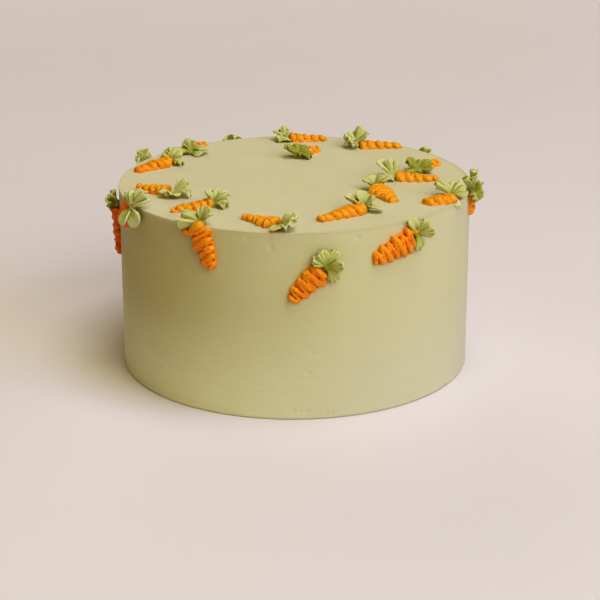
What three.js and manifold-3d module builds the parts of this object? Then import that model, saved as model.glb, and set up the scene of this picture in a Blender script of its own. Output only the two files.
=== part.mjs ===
// A tall round carrot cake in pale green buttercream, with small piped carrots on its top and side.
// Millimetres, +Z up, origin at the middle of the base, front of the cake towards -Y.

import * as THREE from "three";
import { mergeVertices } from "three/addons/utils/BufferGeometryUtils.js";
import Module from "manifold-3d";

// Driving dimensions of the cake.
const CAKE_RADIUS = 101.5;
const CAKE_HEIGHT = 107;
const RIM_RADIUS = 0.5;
const CAKE_SIDES = 84;
const RIM_STEPS = 2;

// Gap that a piece keeps to what it touches, and the reach over which a piped piece bends at the rim.
const CLEARANCE = 0.3;
const CAKE_GAP = 0.25;
const RIM_EASE = 4;

// A root is one zigzag strand, squeezed back and forth from the crown to the tip.
const CROWN_WIDTH = 12;
const TIP_WIDTH = 6.2;
const CROWN_RISE = 4.8;
const TIP_RISE = 2.7;
const STRAND_PITCH = 4.6;
const LOBE_DEPTH = 0.08;
const ROOT_OUTLINE = [0, 28, 60, 90, 120, 152, 180];
const ROOT_START = 1;
const ROOT_END = 0.62;
const SHOULDER = 2;
const TAIL_WIDTH = 3;

// A leaf is one ruffled sheet whose petals fan out from a hub behind the root's crown.
const HUB_BACK = 1.5;
const HUB_RISE = 1.8;
const HUB_THICKNESS = 2;
const EDGE_THICKNESS = 0.9;
const PLEAT_DEPTH = 0.16;
const PETAL_ROUNDING = 0.25;
const PETAL_LAP = 1.3;
const PETAL_GAP = 2;
const HUB_CORE = 0.5;
const VALLEY_REACH = 3;
const LEAF_STEPS = [0.5, 1];

// Carrots on the flat top. at: the crown in x, y. heading: from crown to tip, anticlockwise from +X.
// leaf: petals as [toward, tilt, reach, spread, pleats], angles in degrees; a minus sign on pleats
// makes the middle of the petal a fold instead of a crest.
const TOP_CARROTS = [
  {
    at: [-45.5, -53.3], heading: -157, length: 25, tip: 4.2,
    leaf: [[170, 48, 9, 34, -1], [85, 36, 8.5, 50, 2], [28, 44, 10, 50, 2], [-35, 4, 9, 50, 2]],
  },
  {
    at: [-9, -91], heading: 140, length: 26, tip: 3.8, hub: [1, -3],
    leaf: [[-125, 2, 9, 36, -1], [-62, 6, 8.5, 55, 2], [-5, 30, 10.5, 60, 2], [50, 44, 8, 40, 1]],
  },
  {
    at: [37.3, -63.3], heading: -144, length: 32, crown: 12.5, tip: 4.2, pitch: 4.75,
    leaf: [[165, 22, 13, 34, -1], [120, 50, 10.5, 40, -1], [25, 40, 8.5, 50, 2],
      [-25, 12, 10.5, 34, -1]],
  },
  {
    at: [46.5, -23], heading: -71, length: 27, crown: 14, tip: 5.5, smooth: 0.5,
    leaf: [[165, 34, 9, 42, -1], [118, 40, 8, 50, 1], [45, 48, 8.5, 50, 1], [18, 38, 11.5, 45, -1]],
  },
  {
    at: [58, 0], heading: -5, length: 26, tip: 5, pitch: 5.3,
    leaf: [[152, 50, 13, 36, -1], [120, 62, 10.5, 60, 2], [168, 10, 9, 50, 1], [-120, 8, 7, 60, 1]],
  },
  {
    at: [72, 21.5], heading: 40, length: 19, hub: [2.5, -6.5],
    leaf: [[160, 34, 10, 50, 2], [-170, 6, 9, 40, 1], [95, 40, 7.5, 60, 2], [30, 38, 9, 50, 2],
      [-15, 10, 8.5, 36, 1]],
  },
  {
    at: [39.6, 73], heading: -2, length: 28, tip: 4, pitch: 5.3,
    leaf: [[178, 28, 9.5, 60, 2], [130, 42, 9.5, 50, 2], [48, 52, 11.5, 76, 2],
      [-130, 12, 8.5, 66, 2]],
  },
  {
    at: [-4, 90], heading: 1, length: 25.5, crown: 13, tip: 3.8,
    leaf: [[160, 34, 9, 36, -1], [110, 48, 7.5, 50, 2], [-140, 3, 8, 44, 2], [-90, 4, 6.5, 60, 1]],
  },
  {
    at: [1.5, 54], heading: 40, length: 19, hub: [2.3, -4],
    leaf: [[172, 26, 10.5, 50, 2], [110, 50, 8, 70, 2], [45, 44, 8, 60, 2], [-25, 12, 8.5, 50, 2],
      [-100, 14, 5, 60, 2]],
  },
  {
    at: [-67, 64], heading: 47, length: 19, hub: [5, -5],
    leaf: [[175, 15, 12, 42, 1], [120, 44, 8.5, 60, 2], [12, 20, 11, 45, -1], [-28, 4, 9, 50, 1]],
  },
  {
    at: [-74, 36.5], heading: -137, length: 28,
    leaf: [[155, 28, 8, 45, 2], [118, 56, 8.5, 40, 2], [40, 52, 8, 36, 1], [-45, 6, 9, 46, 2]],
  },
  {
    at: [-71, -27.4], heading: 151, length: 22, hub: [1.5, -5],
    leaf: [[-165, 8, 8.5, 36, -1], [-115, 6, 7, 50, 2], [-60, 8, 7, 36, -1], [-12, 10, 11, 40, 2],
      [34, 30, 11, 46, 2]],
  },
  {
    at: [88, -43.5], heading: -161, length: 19, tip: 8, smooth: 0.35, bend: 1, hub: [-2, 4],
    leaf: [[134, 40, 12, 50, 2], [50, 26, 11, 64, 2], [-15, 14, 10, 34, 1], [-72, -8, 11.5, 26, 1]],
  },
];

// Carrots on the side. at: the crown's azimuth in degrees and its height. Angles are as seen from outside.
const SIDE_CARROTS = [
  {
    at: [-120.5, 107.5], heading: -70, length: 26, crown: 13.5, tip: 5.5, blunt: 2.6, pitch: 4.5,
    shoulder: 5, hub: [1.5, 0], tail: [175, 7.5, 4.5, -3.5],
    leaf: [[104, 46, 9, 44, 2], [54, 42, 9.5, 48, 2], [174, 16, 13, 26, 2], [-156, -4, 14, 22, 2]],
  },
  {
    at: [-81.8, 87], heading: -134, length: 25, crown: 13.5, tip: 6.5, blunt: 2.2, pitch: 5,
    hub: [1.4, 0.5],
    leaf: [[152, 6, 10, 28, 2], [112, 12, 10.5, 38, 2], [58, 4, 10, 34, 2], [8, 24, 10, 34, 2],
      [-60, 10, 10.5, 40, 2]],
  },
  {
    at: [-52, 98], heading: -158.5, length: 27, crown: 13.5, tip: 8.2, blunt: 2, pitch: 4.1,
    hub: [1.4, 1.5], tail: [-3, 8.5, 2.5, -5],
    leaf: [[122, 14, 10.5, 34, -1], [62, 24, 9.5, 36, 2], [0, 26, 10, 34, 2],
      [-78, 8, 10.5, 40, 2]],
  },
  {
    at: [-176, 94], heading: -89, length: 30, tip: 5,
    leaf: [[95, 8, 8.5, 70, 2], [130, 40, 7.5, 40, -1], [-150, 30, 8, 40, 2], [40, 36, 8, 50, 2]],
  },
  {
    at: [-152.7, 102.3], heading: -152, length: 25, crown: 13.5, hub: [2.6, 2.4],
    leaf: [[112, 26, 10, 46, 2], [60, -8, 12.5, 56, 2], [-40, 4, 12.5, 42, -1],
      [-88, 15, 12, 42, -1]],
  },
  {
    at: [-9.5, 106], heading: -92, length: 15.5, tip: 7, hub: [-4, -2.2],
    leaf: [[88, 20, 13, 40, 2], [112, -6, 11, 30, 2], [-35, 40, 8.5, 60, 2],
      [-150, 16, 8.5, 40, 2], [55, 50, 8, 40, 2]],
  },
  {
    at: [18, 84], heading: -112, length: 26,
    leaf: [[140, 12, 10, 60, 2], [85, 20, 10, 60, -1], [25, 10, 9.5, 60, 2]],
  },
  {
    at: [40, 99], heading: -75, length: 24,
    leaf: [[115, 8, 8.5, 60, 2], [170, 10, 8.5, 55, 1], [50, 24, 9, 60, -1]],
  },
  {
    at: [64, 88], heading: -55, length: 27, crown: 11.5,
    leaf: [[165, 8, 10, 50, 1], [108, 20, 9.5, 56, -1], [50, 10, 10, 56, 2]],
  },
  {
    at: [88, 93], heading: -118, length: 25,
    leaf: [[110, 10, 9, 60, -1], [50, 18, 9.5, 60, 2], [-10, 12, 9, 50, 1]],
  },
  {
    at: [112, 99.5], heading: -80, length: 25,
    leaf: [[130, 14, 8.5, 60, 1], [70, 18, 9, 66, 2], [10, 14, 9.5, 50, -1]],
  },
  {
    at: [134, 86], heading: -130, length: 27, crown: 11.5,
    leaf: [[120, 8, 10, 60, 2], [65, 22, 9.5, 55, -1], [5, 10, 10, 60, 1]],
  },
  {
    at: [151, 101], heading: -85, length: 24,
    leaf: [[80, 22, 10.5, 70, 2], [140, 12, 9, 50, 1], [20, 10, 9, 50, -1]],
  },
];

const wasm = await Module();
wasm.setup();

const degrees = THREE.MathUtils.degToRad;
const radians = THREE.MathUtils.radToDeg;
const mix = THREE.MathUtils.lerp;

// The icing's outline runs from the middle of the top, over the rounded rim and down the side.
const RIM_RUN = CAKE_RADIUS - RIM_RADIUS;
const RIM_ARC = (RIM_RADIUS * Math.PI) / 2;

// A place on the icing by its azimuth and its run along the outline, with the way that a piece
// piped there stands out. That way turns more gently at the rim than the icing does.
function icing(azimuth, run) {
  const turn = THREE.MathUtils.clamp((run - RIM_RUN) / RIM_RADIUS, 0, Math.PI / 2);
  const inner = Math.min(run, RIM_RUN);
  const down = Math.max(run - RIM_RUN - RIM_ARC, 0);
  const radius = inner + RIM_RADIUS * Math.sin(turn);
  const height = CAKE_HEIGHT - RIM_RADIUS * (1 - Math.cos(turn)) - down;
  const past = THREE.MathUtils.smoothstep(run, RIM_RUN - RIM_EASE, RIM_RUN + RIM_ARC + RIM_EASE);
  const lean = (past * Math.PI) / 2;
  const outward = new THREE.Vector3(Math.cos(azimuth), Math.sin(azimuth), 0);
  const place = outward.clone().multiplyScalar(radius).setZ(height);
  const normal = outward.clone().multiplyScalar(Math.sin(lean)).setZ(Math.cos(lean));
  return { place, normal, lean, outward };
}

// The top and the side are laid out flat, each in its own millimetres: x, y or across, up.
const onTop = {
  lay: (x, y) => icing(Math.atan2(y, x), Math.hypot(x, y)),
  crown: ([x, y]) => [x, y],
  axes({ normal, lean, outward }) {
    const round = new THREE.Vector3(-outward.y, outward.x, 0);
    const slope = outward.clone().multiplyScalar(Math.cos(lean)).setZ(-Math.sin(lean));
    const u = slope.clone().multiplyScalar(outward.x).addScaledVector(round, -outward.y);
    const v = slope.clone().multiplyScalar(outward.y).addScaledVector(round, outward.x);
    return [u, v, normal];
  },
};
const onSide = {
  lay: (across, up) => icing(across / CAKE_RADIUS, RIM_RUN + RIM_ARC + CAKE_HEIGHT - RIM_RADIUS - up),
  crown: ([azimuth, height]) => [degrees(azimuth) * CAKE_RADIUS, height],
  axes({ normal, outward }) {
    const u = new THREE.Vector3(-outward.y, outward.x, 0);
    return [u, normal.clone().cross(u), normal];
  },
};

// Moves a point that would sink into the cake out to a given height above the icing.
function rest(point, lift) {
  const radius = Math.hypot(point.x, point.y);
  const out = radius - RIM_RUN;
  const over = point.z - (CAKE_HEIGHT - RIM_RADIUS);
  let newRadius = radius;
  if (out > 0 && over > 0) {
    const grow = Math.max(1, (RIM_RADIUS + lift) / Math.hypot(out, over));
    newRadius = RIM_RUN + out * grow;
    point.z = CAKE_HEIGHT - RIM_RADIUS + over * grow;
  } else if (CAKE_HEIGHT - point.z < CAKE_RADIUS - radius) {
    point.z = Math.max(point.z, CAKE_HEIGHT + lift);
  } else {
    newRadius = Math.max(radius, CAKE_RADIUS + lift);
  }
  point.x *= newRadius / radius;
  point.y *= newRadius / radius;
  return point;
}

// Builds a closed solid from points and triangles.
function solid(points, triangles) {
  const vertProperties = new Float32Array(points.flatMap((p) => p.toArray()));
  const triVerts = new Uint32Array(triangles);
  return new wasm.Manifold(new wasm.Mesh({ numProp: 3, vertProperties, triVerts }));
}

// Lofts a row of rings, all with the same number of points, and closes both ends.
function loft(rings) {
  const n = rings[0].length;
  const last = (rings.length - 1) * n;
  const triangles = [];
  for (let i = 0; i < rings.length - 1; i++) {
    for (let j = 0; j < n; j++) {
      const a = i * n + j;
      const d = i * n + ((j + 1) % n);
      triangles.push(a, d, d + n, a, d + n, a + n);
    }
  }
  for (let j = 1; j < n - 1; j++) {
    triangles.push(0, j + 1, j);
    triangles.push(last, last + j, last + j + 1);
  }
  return solid(rings.flat(), triangles);
}

// Closes a thin sheet round a hub. Each ring of the sheet holds [upper, lower] points, hub first.
function sheet(hub, rings) {
  const n = rings[0].length;
  const points = [...hub, ...rings.flat(2)];
  const triangles = [];
  const at = (ring, j, face) => 2 + 2 * (ring * n + (j % n)) + face;
  for (let j = 0; j < n; j++) {
    triangles.push(0, at(0, j, 0), at(0, j + 1, 0));
    triangles.push(1, at(0, j + 1, 1), at(0, j, 1));
    for (let i = 1; i < rings.length; i++) {
      const [a, b, c, d] = [at(i - 1, j, 0), at(i, j, 0), at(i, j + 1, 0), at(i - 1, j + 1, 0)];
      triangles.push(a, b, c, a, c, d);
      triangles.push(a + 1, c + 1, b + 1, a + 1, d + 1, c + 1);
    }
    const [p, q] = [at(rings.length - 1, j, 0), at(rings.length - 1, j + 1, 0)];
    triangles.push(p, p + 1, q + 1, p, q + 1, q);
  }
  return solid(points, triangles);
}

// The cake: one solid of sponge and icing with a softly rounded rim. A grown one cuts what is on it.
function cake(grow = 0) {
  const outline = [new THREE.Vector2(0, 0), new THREE.Vector2(CAKE_RADIUS + grow, 0)];
  for (let i = 0; i <= RIM_STEPS; i++) {
    const turn = (i / RIM_STEPS) * (Math.PI / 2);
    const x = RIM_RUN + (RIM_RADIUS + grow) * Math.cos(turn);
    const z = CAKE_HEIGHT - RIM_RADIUS + (RIM_RADIUS + grow) * Math.sin(turn);
    outline.push(new THREE.Vector2(x, z));
  }
  outline.push(new THREE.Vector2(0, CAKE_HEIGHT + grow));
  const geometry = new THREE.LatheGeometry(outline, CAKE_SIDES).rotateX(Math.PI / 2);
  geometry.deleteAttribute("normal");
  geometry.deleteAttribute("uv");
  return mergeVertices(geometry, 1e-4);
}

// Lays a point of a carrot's root on the icing: along its heading, across it to the left, and up.
function rootPoint(face, carrot, along, across, up) {
  const [x, y] = face.crown(carrot.at);
  const turn = degrees(carrot.heading);
  const middle = along / carrot.length;
  const side = across + 4 * (carrot.bend ?? 0) * middle * (1 - middle);
  const { place, normal } = face.lay(
    x + along * Math.cos(turn) - side * Math.sin(turn),
    y + along * Math.sin(turn) + side * Math.cos(turn),
  );
  return place.addScaledVector(normal, CLEARANCE + up);
}

// One ring of a root's outline. size shrinks it at the ends, and swing, from -1 to 1, leans it to one side.
function rootRing(face, carrot, along, size, swing, grow) {
  const part = THREE.MathUtils.clamp(along / carrot.length, 0, 1);
  const taper = 1 - part ** (carrot.blunt ?? 1.15);
  const shoulder = THREE.MathUtils.clamp(1 - along / (carrot.shoulder ?? SHOULDER), 0, 1);
  const width = mix(carrot.tip ?? TIP_WIDTH, carrot.crown ?? CROWN_WIDTH, taper);
  const half = (width / 2) * size * Math.sqrt(1 - 0.6 * shoulder * shoulder) + grow;
  const rise = mix(TIP_RISE, CROWN_RISE, taper) * (0.4 + 0.6 * size) + grow;
  const depth = LOBE_DEPTH * (carrot.smooth ?? 1);
  return ROOT_OUTLINE.map((angle) => {
    const side = Math.cos(degrees(angle));
    const reach = half * (1 + depth * swing * Math.sign(side));
    const dip = 1 - 0.5 * depth * Math.abs(swing) * (1 - swing * side);
    const across = Math.sign(side) * reach * Math.abs(side) ** 0.8;
    const up = rise * dip * Math.sin(degrees(angle)) ** 0.8;
    return rootPoint(face, carrot, along, across, up - (angle % 180 === 0 ? grow : 0));
  });
}

// A root tapers from crown to tip. The strand's turns stand out as lobes, by turns left and right.
function root(face, carrot) {
  const turns = Math.round((2 * (carrot.length - ROOT_START)) / (carrot.pitch ?? STRAND_PITCH));
  const rings = [rootRing(face, carrot, ROOT_START, ROOT_END, 0, 0)];
  for (let k = 0; k < turns; k++) {
    const along = mix(ROOT_START, carrot.length, (k + 0.5) / turns);
    rings.push(rootRing(face, carrot, along, 1, k % 2 ? -1 : 1, 0));
  }
  rings.push(rootRing(face, carrot, carrot.length, ROOT_END, 0, 0));
  const body = loft(rings);
  return carrot.tail ? body.add(tail(face, carrot, 0)) : body;
}

// The room that a root takes, plainer and a little larger, which is kept clear of the leaves.
function rootRoom(face, carrot) {
  const inset = STRAND_PITCH / 4;
  const { length } = carrot;
  const rings = [
    rootRing(face, carrot, ROOT_START - CLEARANCE, ROOT_END, 0, CLEARANCE),
    rootRing(face, carrot, ROOT_START + inset, 1 + LOBE_DEPTH, 0, CLEARANCE),
    rootRing(face, carrot, length / 2, 1 + LOBE_DEPTH, 0, CLEARANCE),
    rootRing(face, carrot, length - inset, 1 + LOBE_DEPTH, 0, CLEARANCE),
    rootRing(face, carrot, length + CLEARANCE, ROOT_END, 0, CLEARANCE),
  ];
  const body = loft(rings);
  return carrot.tail ? body.add(tail(face, carrot, CLEARANCE)) : body;
}

// The strand's loose end, a short bar that sticks out beside the crown.
function tail(face, carrot, grow) {
  const [toward, length, start, beside] = carrot.tail;
  const turn = degrees(toward - carrot.heading);
  const rings = [0, 0.75, 1].map((part) => {
    const half = (TAIL_WIDTH / 2) * (part === 1 ? ROOT_END : 1) + grow;
    const reach = part * length + (part === 1 ? grow : 0);
    return [0, 45, 90, 135, 180].map((angle) => {
      const across = half * Math.cos(degrees(angle));
      const up = 2 * half * Math.sin(degrees(angle));
      return rootPoint(
        face,
        carrot,
        start + reach * Math.cos(turn) - across * Math.sin(turn),
        beside + reach * Math.sin(turn) + across * Math.cos(turn),
        up,
      );
    });
  });
  return loft(rings);
}

// The angles round the hub that each petal takes up, seen from above and counted from the root.
// A steeper petal takes up more. Where two would overlap, they share the room between them.
function petalRooms(petals, heading, grow) {
  const rooms = petals.map(([toward, tilt, reach, spread]) => {
    const middle = THREE.MathUtils.euclideanModulo(toward - heading, 360);
    const open = degrees((spread * PETAL_LAP) / 2);
    const half = Math.atan2(Math.tan(open), Math.cos(degrees(tilt))) + grow / reach;
    return { from: middle - radians(half), to: middle + radians(half) };
  });
  rooms.forEach((room, k) => {
    const next = rooms[(k + 1) % rooms.length];
    const lap = k + 1 < rooms.length ? 0 : 360;
    const shared = (room.to + next.from + lap) / 2;
    room.to = Math.min(room.to, shared - PETAL_GAP / 2);
    next.from = Math.max(next.from, shared + PETAL_GAP / 2 - lap);
  });
  return rooms;
}

// A petal is a plane that is tilted up at the hub, with pleats that deepen towards its rounded edge.
// Each of its spokes stands on the icing like a page of a book: a way round the hub, and along it
// how far the spoke runs out and up and how far it is pushed up off its line.
function petalSpokes([toward, tilt, reach, , pleats], { from, to }, heading, grow) {
  const middle = THREE.MathUtils.euclideanModulo(toward - heading, 360);
  const columns = 2 * Math.abs(pleats) + 2;
  return Array.from({ length: columns + 1 }, (_, j) => {
    const across = (2 * j) / columns - 1;
    const way = mix(from, to, j / columns);
    const aside = Math.atan(Math.tan(degrees(way - middle)) * Math.cos(degrees(tilt)));
    const up = Math.cos(aside) * Math.sin(degrees(tilt));
    const end = (reach + grow) * (1 - PETAL_ROUNDING * Math.abs(across) ** 3);
    const crest = Math.sign(pleats) * Math.cos(Math.PI * pleats * across);
    return { way, slope: Math.asin(up), end, lift: PLEAT_DEPTH * end * crest };
  });
}

// A leaf rests on the icing where it would sink.
function leaf(face, carrot, grow = 0) {
  const [x, y] = face.crown(carrot.at);
  const [right, up] = carrot.hub ?? [0, 0];
  const back = degrees(carrot.heading);
  const seat = face.lay(x - HUB_BACK * Math.cos(back) + right, y - HUB_BACK * Math.sin(back) + up);
  const [u, v, normal] = face.axes(seat);
  const hub = seat.place.clone().addScaledVector(normal, HUB_RISE);
  const fromRoot = ([toward]) => THREE.MathUtils.euclideanModulo(toward - carrot.heading, 360);
  const petals = [...carrot.leaf].sort((a, b) => fromRoot(a) - fromRoot(b));
  const rooms = petalRooms(petals, carrot.heading, grow);
  const spokes = petals.flatMap((petal, k) => {
    const own = petalSpokes(petal, rooms[k], carrot.heading, grow);
    const lap = k + 1 < petals.length ? 0 : 360;
    const way = (rooms[k].to + rooms[(k + 1) % petals.length].from + lap) / 2;
    const slope = own[own.length - 1].slope / 2;
    return [...own, { way, slope, end: VALLEY_REACH, lift: 0 }];
  });
  const rings = LEAF_STEPS.map((part) => {
    const thickness = mix(HUB_THICKNESS, EDGE_THICKNESS, part) + 2 * grow;
    return spokes.map(({ way, slope, end, lift }) => {
      const turn = degrees(way + carrot.heading);
      const ahead = u.clone().multiplyScalar(Math.cos(turn)).addScaledVector(v, Math.sin(turn));
      const pairs = [1, -1].map((side) => {
        const off = part * lift + (side * thickness) / 2;
        const out = part * end * Math.cos(slope) - off * Math.sin(slope);
        const rise = part * end * Math.sin(slope) + off * Math.cos(slope);
        const point = hub.clone().addScaledVector(normal, rise);
        return point.addScaledVector(ahead, Math.max(out, HUB_CORE));
      });
      return [rest(pairs[0], CLEARANCE + thickness), rest(pairs[1], CLEARANCE)];
    });
  });
  const half = HUB_THICKNESS / 2 + grow;
  return sheet([half, -half].map((rise) => hub.clone().addScaledVector(normal, rise)), rings);
}

// Keeps the largest body of a solid that a cut may have split.
function largest(made) {
  return made.decompose().sort((a, b) => b.volume() - a.volume())[0];
}

// Says whether two solids come near enough to be cut.
function meet(a, b) {
  const [p, q] = [a.boundingBox(), b.boundingBox()];
  return [0, 1, 2].every((k) => p.min[k] < q.max[k] && q.min[k] < p.max[k]);
}

function meshOf(name, made, material) {
  const { vertProperties, triVerts } = made.getMesh();
  const geometry = new THREE.BufferGeometry();
  geometry.setAttribute("position", new THREE.BufferAttribute(vertProperties, 3));
  geometry.setIndex(new THREE.BufferAttribute(triVerts, 1));
  geometry.computeVertexNormals();
  const mesh = new THREE.Mesh(geometry, material.clone());
  mesh.name = name;
  return mesh;
}

const greenIcing = new THREE.MeshStandardMaterial({ color: 0xc3b98c, roughness: 0.55, metalness: 0 });
const orangeIcing = new THREE.MeshStandardMaterial({ color: 0xe07a10, roughness: 0.4, metalness: 0 });
const leafIcing = new THREE.MeshStandardMaterial({ color: 0xa5a15a, roughness: 0.5, metalness: 0 });

const group = new THREE.Group();
const cakeMesh = new THREE.Mesh(cake(), greenIcing);
cakeMesh.name = "iced_cake";
group.add(cakeMesh);

const wideCake = cake(CAKE_GAP);
const cakeRoom = new wasm.Manifold(
  new wasm.Mesh({
    numProp: 3,
    vertProperties: wideCake.attributes.position.array,
    triVerts: new Uint32Array(wideCake.index.array),
  }),
);

const carrots = [
  ...TOP_CARROTS.map((carrot) => ({ face: onTop, carrot })),
  ...SIDE_CARROTS.map((carrot) => ({ face: onSide, carrot })),
];
const roots = carrots.map(({ face, carrot }) => root(face, carrot).subtract(cakeRoom));
const rootRooms = carrots.map(({ face, carrot }) => rootRoom(face, carrot));
const leaves = [];
carrots.forEach(({ face, carrot }, i) => {
  let made = leaf(face, carrot).subtract(cakeRoom);
  for (const room of rootRooms) if (meet(made, room)) made = made.subtract(room);
  carrots.slice(0, i).forEach((before, k) => {
    if (meet(made, leaves[k])) made = made.subtract(leaf(before.face, before.carrot, CLEARANCE));
  });
  leaves.push(largest(made));
});
carrots.forEach((_, i) => {
  const name = "carrot_" + String(i + 1).padStart(2, "0");
  group.add(meshOf(name + "_root", largest(roots[i]), orangeIcing));
  group.add(meshOf(name + "_leaf", leaves[i], leafIcing));
});

export default group;
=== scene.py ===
"""A tall round carrot cake in pale green buttercream, with small piped carrots on its top and side."""

import math
import random

import bpy
import numpy as np
from mathutils import Matrix, Vector, noise


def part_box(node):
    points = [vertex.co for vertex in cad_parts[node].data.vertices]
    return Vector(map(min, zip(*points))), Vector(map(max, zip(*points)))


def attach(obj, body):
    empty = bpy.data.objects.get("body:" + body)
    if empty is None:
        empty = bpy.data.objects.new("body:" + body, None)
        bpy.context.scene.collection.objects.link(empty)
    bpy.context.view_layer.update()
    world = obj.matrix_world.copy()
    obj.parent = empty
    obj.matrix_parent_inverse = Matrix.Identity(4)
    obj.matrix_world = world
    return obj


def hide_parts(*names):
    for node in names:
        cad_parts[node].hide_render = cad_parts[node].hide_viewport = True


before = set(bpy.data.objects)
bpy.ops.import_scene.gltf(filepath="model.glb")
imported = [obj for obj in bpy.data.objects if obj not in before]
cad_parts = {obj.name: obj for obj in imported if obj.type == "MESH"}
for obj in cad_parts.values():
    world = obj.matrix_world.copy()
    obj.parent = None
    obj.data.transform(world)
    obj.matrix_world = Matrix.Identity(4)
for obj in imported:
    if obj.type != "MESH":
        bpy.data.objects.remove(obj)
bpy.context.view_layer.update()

# Sizes below are millimetres, as a maker measures them. Pieces are scaled to metres when they are made.
MM = 0.001

# The cake: a straight wall, a nearly sharp rim and a flat top, with the soft waves that a scraper leaves.
cake_low, cake_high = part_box("iced_cake")
CAKE_RADIUS = (cake_high[0] - cake_low[0]) / 2 / MM
CAKE_HEIGHT = (cake_high[2] - cake_low[2]) / MM
RIM_RADIUS = 0.5
SEGMENTS = 560
WALL_STEP = 1.05
TOP_STEP = 2.4
RIM_STEPS = 8
BASE_BEVEL = 0.5
BASE_EASE = 3
SCRAPER_WAVE = 0.25
WAVE_PITCH = 55
SCRAPER_RIPPLE = 0.05
RIPPLE_PITCH = 17
STROKE_PITCH = 3.5
STROKE_STRETCH = 0.12

# Small bubbles and nicks in the icing: azimuth and height on the side, or x and y on the top, size, depth.
SIDE_NICKS = [
    (-110.3, 104, 1, 0.6), (-107.8, 103.4, 0.9, 0.5), (-104.5, 103.2, 1, 0.6), (-97.2, 98.3, 1.2, 0.7),
    (-70.6, 102, 1.2, 0.8), (-130.4, 72, 1.2, 0.8), (-157, 59, 1, 0.6), (-84.7, 39, 0.9, 0.6),
    (-86, 27.3, 1, 0.6), (-52.5, 11.6, 1, 0.6), (-90.5, 4.6, 1, 0.5), (-88.6, 4.5, 0.9, 0.4),
    (-86.6, 4.4, 1, 0.5), (-80.6, 2.4, 1, 0.6), (-78.6, 2.2, 1, 0.6), (30, 70, 1.2, 0.7),
    (48, 103, 1, 0.6), (75, 45, 1, 0.6), (79, 99, 1.1, 0.6), (120, 66, 1.2, 0.7), (165, 34, 1.1, 0.7),
]
TOP_NICKS = [(-37, 40, 1.6, 0.7), (-20, 12, 1, 0.4), (28, 30, 1, 0.4), (-5, -30, 1, 0.4)]

# How deep every root and leaf is pressed into the cake's icing, and how far from the rim it starts to
# lean over.
SINK = 0.45
RIM_EASE = 4

# A root is one strand, squeezed back and forth from the crown to the tip over a soft core.
CROWN_WIDTH = 12
TIP_WIDTH = 6.2
CROWN_RISE = 4.8
TIP_RISE = 2.7
BLUNTNESS = 1.15
SHOULDER_RUN = 2
ROOT_VOXEL = 0.34

# The strand. Its half thickness is a share of its pitch, and it thins out where the root gets narrow.
STRAND_PITCH = 4.6
STRAND_SHARE = 0.39
STRAND_RISE = 2.4
THIN_SHARE = 0.6
THIN_RISE_SHARE = 0.55
THIN_HALF = 1.8
FULL_HALF = 4.5
STRAND_SIDES = 14
PASS_STEPS = 12

# Its way back and forth: turns that overhang the root's edge, drop to the icing and pile up a little.
# The first pass is a short one, and the last stays this share of the strand's half off the tip.
FIRST_PASS = 0.4
TIP_ROOM = 0.7
LEAST_SWING = 0.2
LOBE_DEPTH = 0.08
TURN_SHARPNESS = 0.96
TURN_SHARE = 0.55
TURN_DROP = 0.16
LEAD_RISE = 0.35

# How uneven a hand squeezes it: in place and height in millimetres, in swing and thickness as a share.
UNEVEN_PACE = 0.6
UNEVEN_RISE = 0.4
UNEVEN_SWING = 0.22
UNEVEN_THICKNESS = 0.27

# The core under the strand, and the strand's loose end.
CORE_RINGS = 30
CORE_SIDES = 11
TAIL_HALF = 1.5
TAIL_RISE = 2.1
TAIL_HIGH = 1.65
TAIL_RINGS = 12

# Small crumbly bumps all over a root.
CRUMB_PITCH = 1.7
CRUMB_DEPTH = 0.26

# A leaf is a few petals that fan out from a hub behind the root's crown.
HUB_BACK = 1.5
HUB_RISE = 1.8
HUB_THICKNESS = 1.9
EDGE_THICKNESS = 0.95
PETAL_PARTS = np.linspace(0.02, 1, 18)[:, None]
PETAL_COLUMN = 0.6
LEAF_VOXEL = 0.34

# A shell rolls its sides round, and a ruffle stands in pleats. lap: how much more icing there is than the
# spread it covers. rounding: how far the sides of its edge fall back.
SHELL_LAP = 2.1
SHELL_ROLL = math.radians(54)
SHELL_ROUNDING = 0.42
RUFFLE_LAP = 1.4
RUFFLE_ROUNDING = 0.22
PLEAT_DEPTH = 0.44
PLEAT_SHIFT = 0.25

# Every petal also has fine ridges, and curls and twists a little, as shares of its reach.
RIDGE_PITCH = 1.9
RIDGE_DEPTH = 0.6
RIDGE_STRENGTH = (0.6, 1.1)
CURL = (-0.28, 0.1)
TWIST = 0.12

# The hub's rings from the bottom up, as height above its middle and radius.
HUB_SIDES = 16
HUB_RINGS = [(-1.8 - SINK, 1.6), (-1.2, 2.4), (0, 2.5), (0.7, 2.1), (1.2, 1.2), (1.35, 0.4)]

# How far inside a crease a point lies where the painted shade is deepest, and the rounds of easing that
# find it.
CREASE_DEPTH = 0.24
CREASE_ROUNDS = 11

# What the lists of carrots say, in millimetres and degrees:
# heading: the way from crown to tip, anticlockwise from +X, or from straight right on the side.
# length, crown, tip: the root's length, and its width at either end.
# pitch: the way from one turn of the strand to the next.
# blunt: the more, the longer the root stays wide.
# shoulder: how far the corners of the crown are rounded.
# smooth: 1 where the strand's turns stand clear, and less where they melt together.
# bend: how far the root's middle swings to the left of its heading.
# tail: the strand's loose end, as the way it points, its length, and its start along and beside the root.
# hub: how far the leaf's hub lies right and up of its usual place.
# deep: a darker leaf, or a paler one below zero.
# leaf: petals as (toward, tilt, reach, spread, pleats). With fewer than two pleats a petal is a rolled
# shell, and a minus sign makes its middle a fold instead of a crest.

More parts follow.
